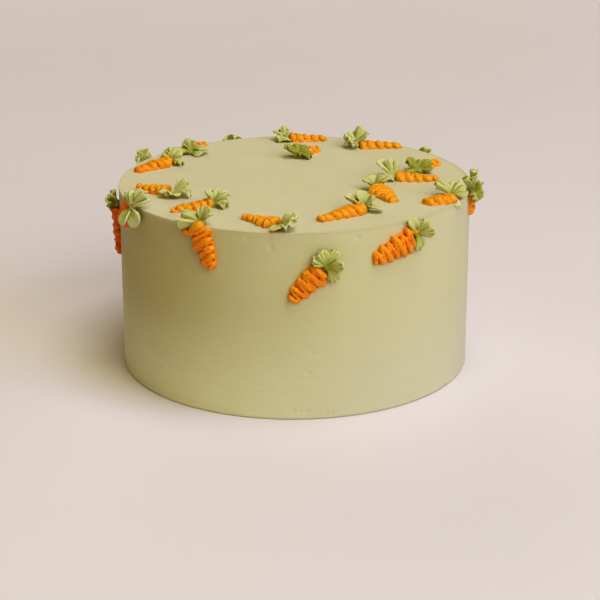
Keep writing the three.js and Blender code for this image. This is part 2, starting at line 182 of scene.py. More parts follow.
# Carrots on the flat top. at: the crown in x, y.
TOP_CARROTS = [
    dict(at=(-45.5, -53.3), heading=-157, length=25, tip=4.2,
         leaf=[(170, 48, 9, 34, -1), (85, 36, 8.5, 50, 2), (28, 44, 10, 50, 3), (-35, 4, 9, 50, 2)]),
    dict(at=(-9, -91), heading=140, length=26, tip=3.8, hub=(1, -3),
         leaf=[(-125, 2, 9, 36, -1), (-62, 6, 8.5, 55, 3), (-5, 30, 10.5, 60, 3), (50, 44, 8, 40, 1)]),
    dict(at=(37.3, -63.3), heading=-144, length=32, tip=4.2, crown=12.5, pitch=4.75, deep=-0.15,
         leaf=[(165, 22, 13, 34, -1), (120, 50, 10.5, 40, -1), (25, 40, 8.5, 50, 3),
               (-25, 12, 10.5, 34, -1)]),
    dict(at=(46.5, -23), heading=-71, length=27, tip=5.5, crown=14, smooth=0.5,
         leaf=[(165, 34, 9, 42, -1), (118, 40, 8, 50, 1), (45, 48, 8.5, 50, 1), (18, 38, 11.5, 45, -1)]),
    dict(at=(58, 0), heading=-5, length=26, tip=5, pitch=5.3, deep=-0.2,
         leaf=[(152, 50, 13, 36, -1), (120, 62, 10.5, 60, 2), (168, 10, 9, 50, 1), (-120, 8, 7, 60, 1)]),
    dict(at=(72, 21.5), heading=40, length=19, hub=(2.5, -6.5), deep=0.9,
         leaf=[(160, 34, 10, 50, 3), (-170, 6, 9, 40, 1), (95, 40, 7.5, 60, 3), (30, 38, 9, 50, 3),
               (-15, 10, 8.5, 36, 1)]),
    dict(at=(39.6, 73), heading=-2, length=28, tip=4, pitch=5.3, deep=-0.25,
         leaf=[(178, 28, 9.5, 60, 3), (130, 42, 9.5, 50, 2), (48, 52, 11.5, 76, 2),
               (-130, 12, 8.5, 66, 2)]),
    dict(at=(-4, 90), heading=1, length=25.5, tip=3.8, crown=13,
         leaf=[(160, 34, 9, 36, -1), (110, 48, 7.5, 50, 2), (-140, 3, 8, 44, 2), (-90, 4, 6.5, 60, 1)]),
    dict(at=(1.5, 54), heading=40, length=19, hub=(2.3, -4), deep=0.6,
         leaf=[(172, 26, 10.5, 50, 3), (110, 50, 8, 70, 3), (45, 44, 8, 60, 3), (-25, 12, 8.5, 50, 2),
               (-100, 14, 5, 60, 2)]),
    dict(at=(-67, 64), heading=47, length=19, hub=(5, -5), deep=0.15,
         leaf=[(175, 15, 12, 42, 1), (120, 44, 8.5, 60, 2), (12, 20, 11, 45, -1), (-28, 4, 9, 50, 1)]),
    dict(at=(-74, 36.5), heading=-137, length=28, deep=0.15,
         leaf=[(155, 28, 8, 45, 2), (118, 56, 8.5, 40, 2), (40, 52, 8, 36, 1), (-45, 6, 9, 46, 3)]),
    dict(at=(-71, -27.4), heading=151, length=22, hub=(1.5, -5), deep=-0.2,
         leaf=[(-165, 8, 8.5, 36, -1), (-115, 6, 7, 50, 2), (-60, 8, 7, 36, -1), (-12, 10, 11, 40, 2),
               (34, 30, 11, 46, 3)]),
    dict(at=(88, -43.5), heading=-161, length=19, tip=8, smooth=0.35, bend=1, hub=(-2, 4),
         leaf=[(134, 40, 12, 50, 3), (50, 26, 11, 64, 3), (-15, 14, 10, 34, 1), (-72, -8, 11.5, 26, 1)]),
]

# Carrots on the side. at: the crown's azimuth in degrees and its height. Angles are as seen from outside.
SIDE_CARROTS = [
    dict(at=(-120.5, 107.5), heading=-70, length=26, crown=13.5, tip=5.5, blunt=2.6, pitch=4.5,
         shoulder=5, tail=(175, 7.5, 4.5, -3.5), hub=(1.5, 0),
         leaf=[(104, 46, 9, 44, 3), (54, 42, 9.5, 48, 4), (174, 16, 13, 26, 3), (-156, -4, 14, 22, 2)]),
    dict(at=(-81.8, 87), heading=-134, length=25, crown=13.5, tip=6.5, blunt=2.2, pitch=5, hub=(1.4, 0.5),
         leaf=[(152, 6, 10, 28, 2), (112, 12, 10.5, 38, 4), (58, 4, 10, 34, 3), (8, 24, 10, 34, 3),
               (-60, 10, 10.5, 40, 4)]),
    dict(at=(-52, 98), heading=-158.5, length=27, crown=13.5, tip=8.2, blunt=2, pitch=4.1,
         tail=(-3, 8.5, 2.5, -5), hub=(1.4, 1.5),
         leaf=[(122, 14, 10.5, 34, -1.8), (62, 24, 9.5, 36, 3), (0, 26, 10, 34, 3),
               (-78, 8, 10.5, 40, 3)]),
    dict(at=(-176, 94), heading=-89, length=30, tip=5, deep=0.35,
         leaf=[(95, 8, 8.5, 70, 3), (130, 40, 7.5, 40, -1), (-150, 30, 8, 40, 2), (40, 36, 8, 50, 2)]),
    dict(at=(-152.7, 102.3), heading=-152, length=25, crown=13.5, hub=(2.6, 2.4), deep=-0.3,
         leaf=[(112, 26, 10, 46, 2), (60, -8, 12.5, 56, 2.4), (-40, 4, 12.5, 42, -1),
               (-88, 15, 12, 42, -1)]),
    dict(at=(-9.5, 106), heading=-92, length=15.5, tip=7, hub=(-4, -2.2), deep=0.2,
         leaf=[(88, 20, 13, 40, 3), (112, -6, 11, 30, 2), (-35, 40, 8.5, 60, 4), (-150, 16, 8.5, 40, 3),
               (55, 50, 8, 40, 2)]),
    dict(at=(18, 84), heading=-112, length=26,
         leaf=[(140, 12, 10, 60, 2), (85, 20, 10, 60, -1), (25, 10, 9.5, 60, 2)]),
    dict(at=(40, 99), heading=-75, length=24,
         leaf=[(115, 8, 8.5, 60, 2), (170, 10, 8.5, 55, 1), (50, 24, 9, 60, -1)]),
    dict(at=(64, 88), heading=-55, length=27, crown=11.5,
         leaf=[(165, 8, 10, 50, 1), (108, 20, 9.5, 56, -1), (50, 10, 10, 56, 2)]),
    dict(at=(88, 93), heading=-118, length=25,
         leaf=[(110, 10, 9, 60, -1), (50, 18, 9.5, 60, 2), (-10, 12, 9, 50, 1)]),
    dict(at=(112, 99.5), heading=-80, length=25,
         leaf=[(130, 14, 8.5, 60, 1), (70, 18, 9, 66, 2), (10, 14, 9.5, 50, -1)]),
    dict(at=(134, 86), heading=-130, length=27, crown=11.5,
         leaf=[(120, 8, 10, 60, 2), (65, 22, 9.5, 55, -1), (5, 10, 10, 60, 1)]),
    dict(at=(151, 101), heading=-85, length=24,
         leaf=[(80, 22, 10.5, 70, 2), (140, 12, 9, 50, 1), (20, 10, 9, 50, -1)]),
]


# ---- Materials -----------------------------------------------------------------------------------

# Where a Mix node keeps its colours among its inputs and outputs.
MIX_FIRST = 6
MIX_SECOND = 7
MIX_RESULT = 2


class Field:
    """A value that varies over a surface. Python's operators on it add Math nodes to its finish."""

    def __init__(self, finish, socket):
        self.finish = finish
        self.socket = socket

    def math(self, operation, *values):
        return self.finish.node("ShaderNodeMath", {"operation": operation}, dict(enumerate(values)))

    def __add__(self, other):
        return self.math("ADD", self, other)

    def __radd__(self, other):
        return self.math("ADD", other, self)

    def __sub__(self, other):
        return self.math("SUBTRACT", self, other)

    def __rsub__(self, other):
        return self.math("SUBTRACT", other, self)

    def __mul__(self, other):
        return self.math("MULTIPLY", self, other)

    def __rmul__(self, other):
        return self.math("MULTIPLY", other, self)


class Finish:
    """A material: one soft surface and the nodes that feed it."""

    def __init__(self, name, **constants):
        self.material = bpy.data.materials.new(name)
        self.material.use_nodes = True
        self.tree = self.material.node_tree
        self.tree.nodes.clear()
        self.surface = self.tree.nodes.new("ShaderNodeBsdfPrincipled")
        output = self.tree.nodes.new("ShaderNodeOutputMaterial")
        self.tree.links.new(self.surface.outputs[0], output.inputs["Surface"])
        for socket, value in constants.items():
            self.surface.inputs[socket.replace("_", " ")].default_value = value

    def node(self, kind, settings, values, output=0):
        """Adds a node with its settings first, then the values or links of its sockets."""
        made = self.tree.nodes.new(kind)
        for name, setting in settings.items():
            setattr(made, name, setting)
        for name, value in values.items():
            self.feed(made.inputs[name], value)
        return Field(self, made.outputs[output])

    def feed(self, socket, value):
        """Links a field to a socket, or sets the socket to a plain value."""
        if isinstance(value, Field):
            self.tree.links.new(value.socket, socket)
        else:
            socket.default_value = value

    def place(self, *scale):
        """A point of the surface, in millimetres of the piece, stretched by the scale."""
        object_point = self.node("ShaderNodeTexCoord", {}, {}, "Object")
        stretch = [factor / MM for factor in scale]
        return self.node("ShaderNodeVectorMath", {"operation": "MULTIPLY"}, {0: object_point, 1: stretch})

    def grain(self, point, detail=2.0, roughness=0.5):
        """Soft noise from 0 to 1."""
        values = {"Vector": point, "Scale": 1.0, "Detail": detail, "Roughness": roughness}
        return self.node("ShaderNodeTexNoise", {}, values, "Fac")

    def mark(self, name):
        """A value kept on the points of the piece."""
        return self.node("ShaderNodeAttribute", {"attribute_name": name}, {}, "Fac")

    def height(self):
        """Millimetres above the cake's base."""
        return self.node("ShaderNodeSeparateXYZ", {}, {0: self.place(1, 1, 1)}, "Z")

    def west(self):
        """Millimetres left of the cake's middle."""
        return self.node("ShaderNodeSeparateXYZ", {}, {0: self.place(-1, 1, 1)}, "X")

    def lit(self):
        """How far a point is up on the cake's top, where painted light makes the icing a little paler."""
        return self.band(self.height(), CAKE_HEIGHT - 3, CAKE_HEIGHT + 2)

    def band(self, value, low, high):
        """Rises softly from 0 to 1 as the value goes from low to high."""
        values = {"Value": value, "From Min": low, "From Max": high}
        return self.node("ShaderNodeMapRange", {"interpolation_type": "SMOOTHSTEP"}, values)

    def blend(self, factor, first, second):
        """Two colours mixed by a factor."""
        colours = [colour if isinstance(colour, Field) else (*colour, 1) for colour in (first, second)]
        values = {"Factor": factor, MIX_FIRST: colours[0], MIX_SECOND: colours[1]}
        return self.node("ShaderNodeMix", {"data_type": "RGBA"}, values, MIX_RESULT)

    def paint(self, colour, roughness, relief, depth):
        """Feeds the surface. The relief's depth is in millimetres."""
        self.feed(self.surface.inputs["Base Color"], colour)
        self.feed(self.surface.inputs["Roughness"], roughness)
        values = {"Height": relief, "Strength": 1.0, "Distance": depth * MM}
        self.feed(self.surface.inputs["Normal"], self.node("ShaderNodeBump", {}, values))
        return self.material


# Painted light and shade: the icing is yellower and darker towards the left, and paler down to the base.
SHADE_RISE = 70
ICING = (0.585, 0.54, 0.375)
ICING_LOW_PAINTED_LIGHT = (0.59, 0.56, 0.46)
ICING_WEST_PAINTED_SHADE = (0.50, 0.43, 0.185)
ICING_LOW_WEST_PAINTED_LIGHT = (0.82, 0.80, 0.61)
# Painted light: the flat top is a little paler.
ICING_TOP_PAINTED_LIGHT = (0.60, 0.54, 0.415)
ICING_PALE = (0.63, 0.57, 0.38)
ICING_DEEP = (0.56, 0.495, 0.29)
# Painted shade on the rim's curve, which holds back its highlight.
ICING_RIM_PAINTED_SHADE = (0.51, 0.46, 0.305)

# Painted shade: orange icing is redder in its folds and darkest in its creases. Painted light: paler on
# top.
CARROT = (0.765, 0.26, 0.005)
CARROT_DEEP = (0.70, 0.15, 0.002)
CARROT_PALE = (0.80, 0.345, 0.012)
CARROT_FOLD_PAINTED_SHADE = (0.75, 0.09, 0.001)
CARROT_CREASE_PAINTED_SHADE = (0.30, 0.015, 0.001)
# Painted shade: carrots at the cake's far left are redder and darker.
CARROT_WEST_PAINTED_SHADE = (0.80, 0.12, 0.004)
CARROT_TOP_PAINTED_LIGHT = (0.75, 0.39, 0.03)
CARROT_TOP_FOLD_PAINTED_SHADE = (0.74, 0.17, 0.002)

# Leaf colours, with painted shade at the hub and in creases, and painted light at the edges and on the top.
LEAF = (0.50, 0.48, 0.185)
LEAF_DEEP = (0.33, 0.32, 0.06)
LEAF_PALE = (0.59, 0.565, 0.32)
LEAF_CREASE_PAINTED_SHADE = (0.17, 0.19, 0.02)

# The floor, and the glow that takes over where the lamps fade.
CLOTH = (0.68, 0.61, 0.67)
CLOTH_PALE = (0.71, 0.64, 0.70)
FAR_GLOW = (0.42, 0.41, 0.46)
GLOW_START = 600
GLOW_FULL = 4000


def icing_finish():
    """Smooth buttercream, drawn round with a scraper."""
    finish = Finish("green_buttercream", Subsurface_Weight=0.2, Subsurface_Radius=(1.0, 0.7, 0.3),
                    Subsurface_Scale=0.6 * MM, IOR=1.42)
    cloud = finish.grain(finish.place(0.03, 0.03, 0.05), 3.0)
    mottle = finish.grain(finish.place(0.35, 0.35, 0.5), 4.0, 0.6)
    strokes = finish.grain(finish.place(0.03, 0.03, 0.9), 4.0, 0.6)
    fine = finish.grain(finish.place(2.2, 2.2, 2.2), 3.0, 0.6)
    height = finish.height()
    west = finish.west()
    # Painted shade on the left side, and painted light that pales the side down towards the base.
    colour = finish.blend(finish.band(height, 0, SHADE_RISE),
                          finish.blend(finish.band(west, -50, 80), ICING_LOW_PAINTED_LIGHT, ICING_LOW_WEST_PAINTED_LIGHT),
                          finish.blend(finish.band(west, 20, 95), ICING, ICING_WEST_PAINTED_SHADE))
    # Painted light on the flat top.
    colour = finish.blend(finish.band(height, CAKE_HEIGHT - 3, CAKE_HEIGHT - 0.5), colour, ICING_TOP_PAINTED_LIGHT)
    tint = finish.band(cloud * 0.7 + mottle * 0.3, 0.3, 0.7)
    colour = finish.blend(tint * 0.3, colour, ICING_PALE)
    colour = finish.blend(finish.band(strokes, 0.35, 0.75) * 0.22, colour, ICING_DEEP)
    # Painted shade on the rim's curve, except towards the left, holds back its highlight.
    colour = finish.blend(finish.mark("rim") * (1 - finish.band(west, -20, 70)), colour, ICING_RIM_PAINTED_SHADE)
    return finish.paint(colour, mottle * 0.12 + 0.46, strokes * 0.25 + mottle * 0.4 + fine * 0.2, 0.16)


def carrot_finish():
    """Bright orange buttercream with a soft sheen."""
    finish = Finish("orange_buttercream", Subsurface_Weight=0.3, Subsurface_Radius=(1.0, 0.35, 0.08),
                    Subsurface_Scale=0.6 * MM, IOR=1.45, Specular_IOR_Level=0.33)
    cloud = finish.grain(finish.place(0.16, 0.16, 0.16), 3.0)
    fine = finish.grain(finish.place(1.6, 1.6, 1.6), 4.0, 0.6)
    colour = finish.blend(finish.band(cloud, 0.3, 0.7), CARROT, CARROT_PALE)
    colour = finish.blend(finish.band(fine, 0.5, 0.85) * 0.45, colour, CARROT_DEEP)
    # Painted light: carrots on the top are paler and yellower.
    colour = finish.blend(finish.lit() * 0.5, colour, CARROT_TOP_PAINTED_LIGHT)
    # Painted shade on the carrots at the cake's far left.
    colour = finish.blend(finish.band(finish.west(), 82, 98) * 0.6, colour, CARROT_WEST_PAINTED_SHADE)
    # Painted shade in the folds and creases, lighter on the top.
    fold = finish.blend(finish.lit(), CARROT_FOLD_PAINTED_SHADE, CARROT_TOP_FOLD_PAINTED_SHADE)
    colour = finish.blend(finish.band(finish.mark("crease"), 0, 0.5) * 0.8, colour, fold)
    colour = finish.blend(finish.band(finish.mark("crease"), 0.35, 1) * 0.9, colour, CARROT_CREASE_PAINTED_SHADE)
    coarse = finish.grain(finish.place(0.7, 0.7, 0.7), 2.0)
    return finish.paint(colour, fine * 0.2 + 0.32, fine * 0.4 + coarse * 0.6, 0.4)


def leaf_finish():
    """Soft leaf green, with painted shade that deepens it at the hub and painted light that pales the thin
    edges.
    """
    finish = Finish("leaf_buttercream", Subsurface_Weight=0.3, Subsurface_Radius=(0.8, 1.0, 0.25),
                    Subsurface_Scale=1.0 * MM, IOR=1.42)
    outward = finish.mark("outward")
    cloud = finish.grain(finish.place(0.25, 0.25, 0.25), 3.0)
    fine = finish.grain(finish.place(1.8, 1.8, 1.8), 4.0, 0.6)
    # Painted shade deepens towards the hub, and painted light pales the thin edges.
    colour = finish.blend(finish.band(outward + cloud * 0.4, 0.25, 0.9), LEAF_DEEP, LEAF)
    colour = finish.blend(finish.band(outward + cloud * 0.5, 0.85, 1.45), colour, LEAF_PALE)
    # Painted light near the hub of leaves on the top.
    colour = finish.blend(finish.band(outward, 0.1, 0.5) * finish.lit() * 0.45, colour, LEAF_PALE)
    # Painted shade in the leaf's creases.
    colour = finish.blend(finish.band(finish.mark("crease"), 0.02, 0.8) * 0.92, colour, LEAF_CREASE_PAINTED_SHADE)
    return finish.paint(colour, fine * 0.2 + 0.4, fine, 0.12)


def floor_finish():
    """Plain pale cloth. Far from the cake, where the lamps fade, it keeps a soft glow."""
    finish = Finish("pale_cloth", IOR=1.4, Emission_Strength=1.0)
    weave = finish.grain(finish.place(0.5, 0.5, 0.5), 3.0)
    cloud = finish.grain(finish.place(0.004, 0.004, 0.004), 2.0)
    away = finish.node("ShaderNodeVectorMath", {"operation": "LENGTH"}, {0: finish.place(1, 1, 1)}, "Value")
    glow = finish.blend(finish.band(away, GLOW_START, GLOW_FULL), (0, 0, 0), FAR_GLOW)
    finish.feed(finish.surface.inputs["Emission Color"], glow)
    return finish.paint(finish.blend(cloud, CLOTH, CLOTH_PALE), weave * 0.1 + 0.6, weave, 0.05)


# ---- The icing's surface -------------------------------------------------------------------------

RIM_RUN = CAKE_RADIUS - RIM_RADIUS
RIM_ARC = RIM_RADIUS * math.pi / 2
TINY = 1e-6


def smooth_step(value, low, high):
    """Rises softly from 0 to 1 as the value goes from low to high."""
    part = np.clip((value - low) / (high - low), 0, 1)
    return part * part * (3 - 2 * part)


def mix(first, second, part):
    """The value that lies the given part of the way from the first to the second."""
    return first + (second - first) * part


def icing(azimuth, run):
    """Places on the icing by azimuth and run along the outline, the way out there, and its lean."""
    turn = np.clip((run - RIM_RUN) / RIM_RADIUS, 0, math.pi / 2)
    radius = np.minimum(run, RIM_RUN) + RIM_RADIUS * np.sin(turn)
    down = np.maximum(run - RIM_RUN - RIM_ARC, 0)
    height = CAKE_HEIGHT - RIM_RADIUS * (1 - np.cos(turn)) - down
    lean = smooth_step(run, RIM_RUN - RIM_EASE, RIM_RUN + RIM_ARC + RIM_EASE) * math.pi / 2
    outward = np.stack([np.cos(azimuth), np.sin(azimuth), np.zeros_like(azimuth)], -1)
    rise = np.array([0.0, 0.0, 1.0])
    place = outward * radius[..., None] + rise * height[..., None]
    normal = outward * np.sin(lean)[..., None] + rise * np.cos(lean)[..., None]
    return place, normal, lean, outward


class Top:
    """The cake's top, laid out flat in x and y."""

    def crown(self, at):
        """Where a carrot's crown lies in the flat layout."""
        return at

    def lay(self, x, y):
        """The icing's surface at places of the flat layout."""
        return icing(np.arctan2(y, x), np.hypot(x, y))

    def axes(self, normal, lean, outward):
        """The layout's right and up as they run along the icing."""
        round_way = np.array([-outward[1], outward[0], 0])
        slope = outward * math.cos(lean) - np.array([0, 0, math.sin(lean)])
        return slope * outward[0] - round_way * outward[1], slope * outward[1] + round_way * outward[0]


class Side:
    """The cake's side, unrolled: across it and up."""

    def crown(self, at):
        return math.radians(at[0]) * CAKE_RADIUS, at[1]

    def lay(self, across, up):
        return icing(across / CAKE_RADIUS, RIM_RUN + RIM_ARC + CAKE_HEIGHT - RIM_RADIUS - up)

    def axes(self, normal, lean, outward):
        right = np.array([-outward[1], outward[0], 0])
        return right, np.cross(normal, right)


def rest(points, lift):
    """Moves points that would sink into the cake out to a height above the icing.

    A point nearer to the top than to the side goes up, one nearer to the side goes out, and one beyond
    the middle of the rim's curve goes straight away from it.
    """
    radius = np.hypot(points[..., 0], points[..., 1])
    out = radius - RIM_RUN
    over = points[..., 2] - (CAKE_HEIGHT - RIM_RADIUS)
    corner = (out > 0) & (over > 0)
    grow = np.maximum(1, (RIM_RADIUS + lift) / np.maximum(np.hypot(out, over), TINY))
    above = CAKE_HEIGHT - points[..., 2] < CAKE_RADIUS - radius
    height = np.where(above, np.maximum(points[..., 2], CAKE_HEIGHT + lift), points[..., 2])
    height = np.where(corner, CAKE_HEIGHT - RIM_RADIUS + over * grow, height)
    reach = np.where(above, radius, np.maximum(radius, CAKE_RADIUS + lift))
    reach = np.where(corner, RIM_RUN + out * grow, reach)
    scale = reach / np.maximum(radius, TINY)
    return np.stack([points[..., 0] * scale, points[..., 1] * scale, height], -1)


# ---- Meshes --------------------------------------------------------------------------------------

def ring_faces(count, around):
    """The faces between neighbours in a row of rings with as many points each."""
    faces = []
    for i in range(count - 1):
        for j in range(around):
            k = (j + 1) % around
            faces.append((i * around + j, i * around + k, (i + 1) * around + k, (i + 1) * around + j))
    return faces


class Lump:
    """Closed forms in millimetres that are pressed together into one soft piece."""

    def __init__(self):
        self.points = []
        self.faces = []

    def add(self, points, faces):
        """Adds a closed form."""
        start = sum(len(part) for part in self.points)
        self.points.append(np.asarray(points).reshape(-1, 3))
        self.faces += [tuple(start + corner for corner in face) for face in faces]

    def add_tube(self, rings):
        """A row of rings with as many points each, closed at both ends."""
        count, around = rings.shape[:2]
        faces = ring_faces(count, around)
        faces.append(tuple(reversed(range(around))))
        faces.append(tuple((count - 1) * around + j for j in range(around)))
        self.add(rings, faces)

    def add_sheet(self, upper, lower):
        """A thin slab between two grids of points."""
        rows, columns = upper.shape[:2]
        size = rows * columns
        faces = []
        for i in range(rows - 1):
            for j in range(columns - 1):
                a, b = i * columns + j, (i + 1) * columns + j
                faces.append((a, b, b + 1, a + 1))
                faces.append((size + a, size + a + 1, size + b + 1, size + b))
        edge = list(range(columns))
        edge += [i * columns + columns - 1 for i in range(1, rows)]
        edge += [(rows - 1) * columns + j for j in range(columns - 2, -1, -1)]
        edge += [i * columns for i in range(rows - 2, 0, -1)]
        for a, b in zip(edge, edge[1:] + edge[:1]):
            faces.append((a, b, size + b, size + a))
        self.add(np.concatenate([upper.reshape(-1, 3), lower.reshape(-1, 3)]), faces)

    def skin(self, name, voxel, ease):
        """One closed skin round all the forms, eased as soft icing is."""
        raw = bpy.data.meshes.new(name)
        raw.from_pydata(np.concatenate(self.points).tolist(), [], self.faces)
        piece = bpy.data.objects.new(name, raw)
        bpy.context.scene.collection.objects.link(piece)
        wrap = piece.modifiers.new("wrap", "REMESH")
        wrap.mode = "VOXEL"
        wrap.voxel_size = voxel
        soften = piece.modifiers.new("soften", "SMOOTH")
        soften.iterations = ease
        shape = piece.evaluated_get(bpy.context.evaluated_depsgraph_get())
        piece.data = bpy.data.meshes.new_from_object(shape)
        piece.data.name = name
        piece.modifiers.clear()
        bpy.data.meshes.remove(raw)
        return piece


def get_points(mesh, field="co"):
    """The places of a mesh's points, or their normals, one row each."""
    values = np.empty(len(mesh.vertices) * 3)
    mesh.vertices.foreach_get(field, values)
    return values.reshape(-1, 3)


def mark_points(piece, name, values):
    """Keeps a value on each point, for the piece's finish to read."""
    piece.data.attributes.new(name, "FLOAT", "POINT").data.foreach_set("value", values)


def mark_creases(piece):
    """Notes on each point how deep it lies in a crease: how far easing would lift it out."""
    points = get_points(piece.data)
    edges = np.empty(len(piece.data.edges) * 2, dtype=np.int32)
    piece.data.edges.foreach_get("vertices", edges)
    ends = edges.reshape(-1, 2)
    first = np.concatenate([ends[:, 0], ends[:, 1]])
    second = np.concatenate([ends[:, 1], ends[:, 0]])
    count = len(points)
    neighbours = np.bincount(first, minlength=count)[:, None]
    eased = points
    for _ in range(CREASE_ROUNDS):
        total = np.stack([np.bincount(first, eased[second, axis], count) for axis in range(3)], -1)
        eased = mix(eased, total / neighbours, 0.7)
    lift = np.sum((eased - points) * get_points(piece.data, "normal"), -1)
    mark_points(piece, "crease", np.clip(lift / CREASE_DEPTH, 0, 1))


def ripple(points, pitch, shift):
    """Even noise from -1 to 1 at each point, with bumps about a pitch apart."""
    return np.array([noise.noise(Vector(point)) for point in points / pitch + shift])


def roughen(piece):
    """Small crumbly bumps, as stiff icing gets when it is squeezed."""
    points = get_points(piece.data)
    bumps = ripple(points, CRUMB_PITCH, 5.3) + 0.5 * ripple(points, CRUMB_PITCH / 2, 9.1)
    moved = points + get_points(piece.data, "normal") * (CRUMB_DEPTH * bumps)[:, None]
    piece.data.vertices.foreach_set("co", moved.ravel())
    piece.data.update()


def finish_piece(piece, finish, node):
    """Gives a piece its finish and its place among the nodes, in metres."""
    piece.data.transform(Matrix.Scale(MM, 4))
    piece.data.materials.clear()
    piece.data.materials.append(finish)
    piece.data.shade_smooth()
    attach(piece, "root")
    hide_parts(node)


# ---- The cake ------------------------------------------------------------------------------------

def cake_outline():
    """Radius and height from the middle of the base to the middle of the top."""
    wall_top = CAKE_HEIGHT - RIM_RADIUS
    rows = round(wall_top / WALL_STEP)
    rings = round(RIM_RUN / TOP_STEP)
    outline = [(CAKE_RADIUS * part, 0) for part in (0.25, 0.5, 0.75, 0.97)]
    outline += [(CAKE_RADIUS - BASE_BEVEL, 0), (CAKE_RADIUS, BASE_BEVEL)]
    outline += [(CAKE_RADIUS, mix(BASE_BEVEL, wall_top, row / rows)) for row in range(1, rows + 1)]
    for step in range(1, RIM_STEPS + 1):
        turn = step / RIM_STEPS * math.pi / 2
        outline.append((RIM_RUN + RIM_RADIUS * math.cos(turn), wall_top + RIM_RADIUS * math.sin(turn)))
    outline += [(RIM_RUN * (1 - ring / rings), CAKE_HEIGHT) for ring in range(1, rings)]
    return outline


def icing_relief(points):
    """How far the hand-smoothed icing stands out or in at each point."""
    relief = SCRAPER_WAVE * ripple(points, WAVE_PITCH, 3.1)
    relief += SCRAPER_RIPPLE * ripple(points, RIPPLE_PITCH, 7.7)
    strokes = points * np.array([STROKE_STRETCH, STROKE_STRETCH, 1])
    relief += SCRAPER_RIPPLE * ripple(strokes, STROKE_PITCH, 1.3)
    nicks = [((x, y, CAKE_HEIGHT), size, depth) for x, y, size, depth in TOP_NICKS]
    for azimuth, height, size, depth in SIDE_NICKS:
        turn = math.radians(azimuth)
        nicks.append(((CAKE_RADIUS * math.cos(turn), CAKE_RADIUS * math.sin(turn), height), size, depth))
    for middle, size, depth in nicks:
        away = np.linalg.norm(points - np.array(middle), axis=-1)
        relief -= depth * np.exp(-(away / size) ** 2)
    return relief


def turn_round(outline):
    """The points and faces of an outline that is turned round the middle and closed at both ends."""
    count = len(outline)
    turns = np.arange(SEGMENTS) * 2 * math.pi / SEGMENTS
    radius = outline[:, 0, None]
    height = np.broadcast_to(outline[:, 1, None], (count, SEGMENTS))
    rings = np.stack([radius * np.cos(turns), radius * np.sin(turns), height], -1).reshape(-1, 3)
    faces = ring_faces(count, SEGMENTS)
    for row, centre in ((0, len(rings)), (count - 1, len(rings) + 1)):
        for j in range(SEGMENTS):
            pair = (row * SEGMENTS + j, row * SEGMENTS + (j + 1) % SEGMENTS)
            faces.append((centre, *(pair if row else pair[::-1])))
    return np.concatenate([rings, [(0, 0, 0), (0, 0, CAKE_HEIGHT)]]), faces


def rim_shade_share(points):
    """How much painted shade each point of the rim takes: 1 on the rim's curve and 0 a little beside it."""
    out = np.hypot(points[:, 0], points[:, 1]) - RIM_RUN
    over = points[:, 2] - (CAKE_HEIGHT - RIM_RADIUS)
    return 1 - smooth_step(np.hypot(out, over), RIM_RADIUS, RIM_RADIUS * 2)


def make_cake(finish):
    """The iced cake, one closed skin with the icing's relief."""
    points, faces = turn_round(np.array(cake_outline()))
    mesh = bpy.data.meshes.new("iced_cake_skin")
    mesh.from_pydata(points.tolist(), [], faces)
    relief = icing_relief(points) * smooth_step(points[:, 2], 0, BASE_EASE)
    mesh.vertices.foreach_set("co", (points + get_points(mesh, "normal") * relief[:, None]).ravel())
    mesh.update()
    piece = bpy.data.objects.new("iced_cake_skin", mesh)
    bpy.context.scene.collection.objects.link(piece)
    # The rim's curve keeps its share of painted shade.
    mark_points(piece, "rim", rim_shade_share(points))
    finish_piece(piece, finish, "iced_cake")


# ---- Roots ---------------------------------------------------------------------------------------

def root_point(face, carrot, along, across, up):
    """Lays points of a root on the icing: along its heading, across it to the left, and up."""
    x, y = face.crown(carrot["at"])
    turn = math.radians(carrot["heading"])
    middle = along / carrot["length"]
    side = across + 4 * carrot.get("bend", 0) * middle * (1 - middle)
    place, normal, _, _ = face.lay(x + along * math.cos(turn) - side * math.sin(turn),
                                   y + along * math.sin(turn) + side * math.cos(turn))
    return place + normal * np.asarray(up)[..., None]


def root_taper(carrot, along):
    """Half width and height of a root at a distance from its crown."""
    part = np.clip(along / carrot["length"], 0, 1)
    taper = 1 - part ** carrot.get("blunt", BLUNTNESS)
    half = mix(carrot.get("tip", TIP_WIDTH), carrot.get("crown", CROWN_WIDTH), taper) / 2
    shoulder = np.clip(1 - along / carrot.get("shoulder", SHOULDER_RUN), 0, 0.98)
    return half * np.sqrt(1 - shoulder ** 2 * 0.6), mix(TIP_RISE, CROWN_RISE, taper)


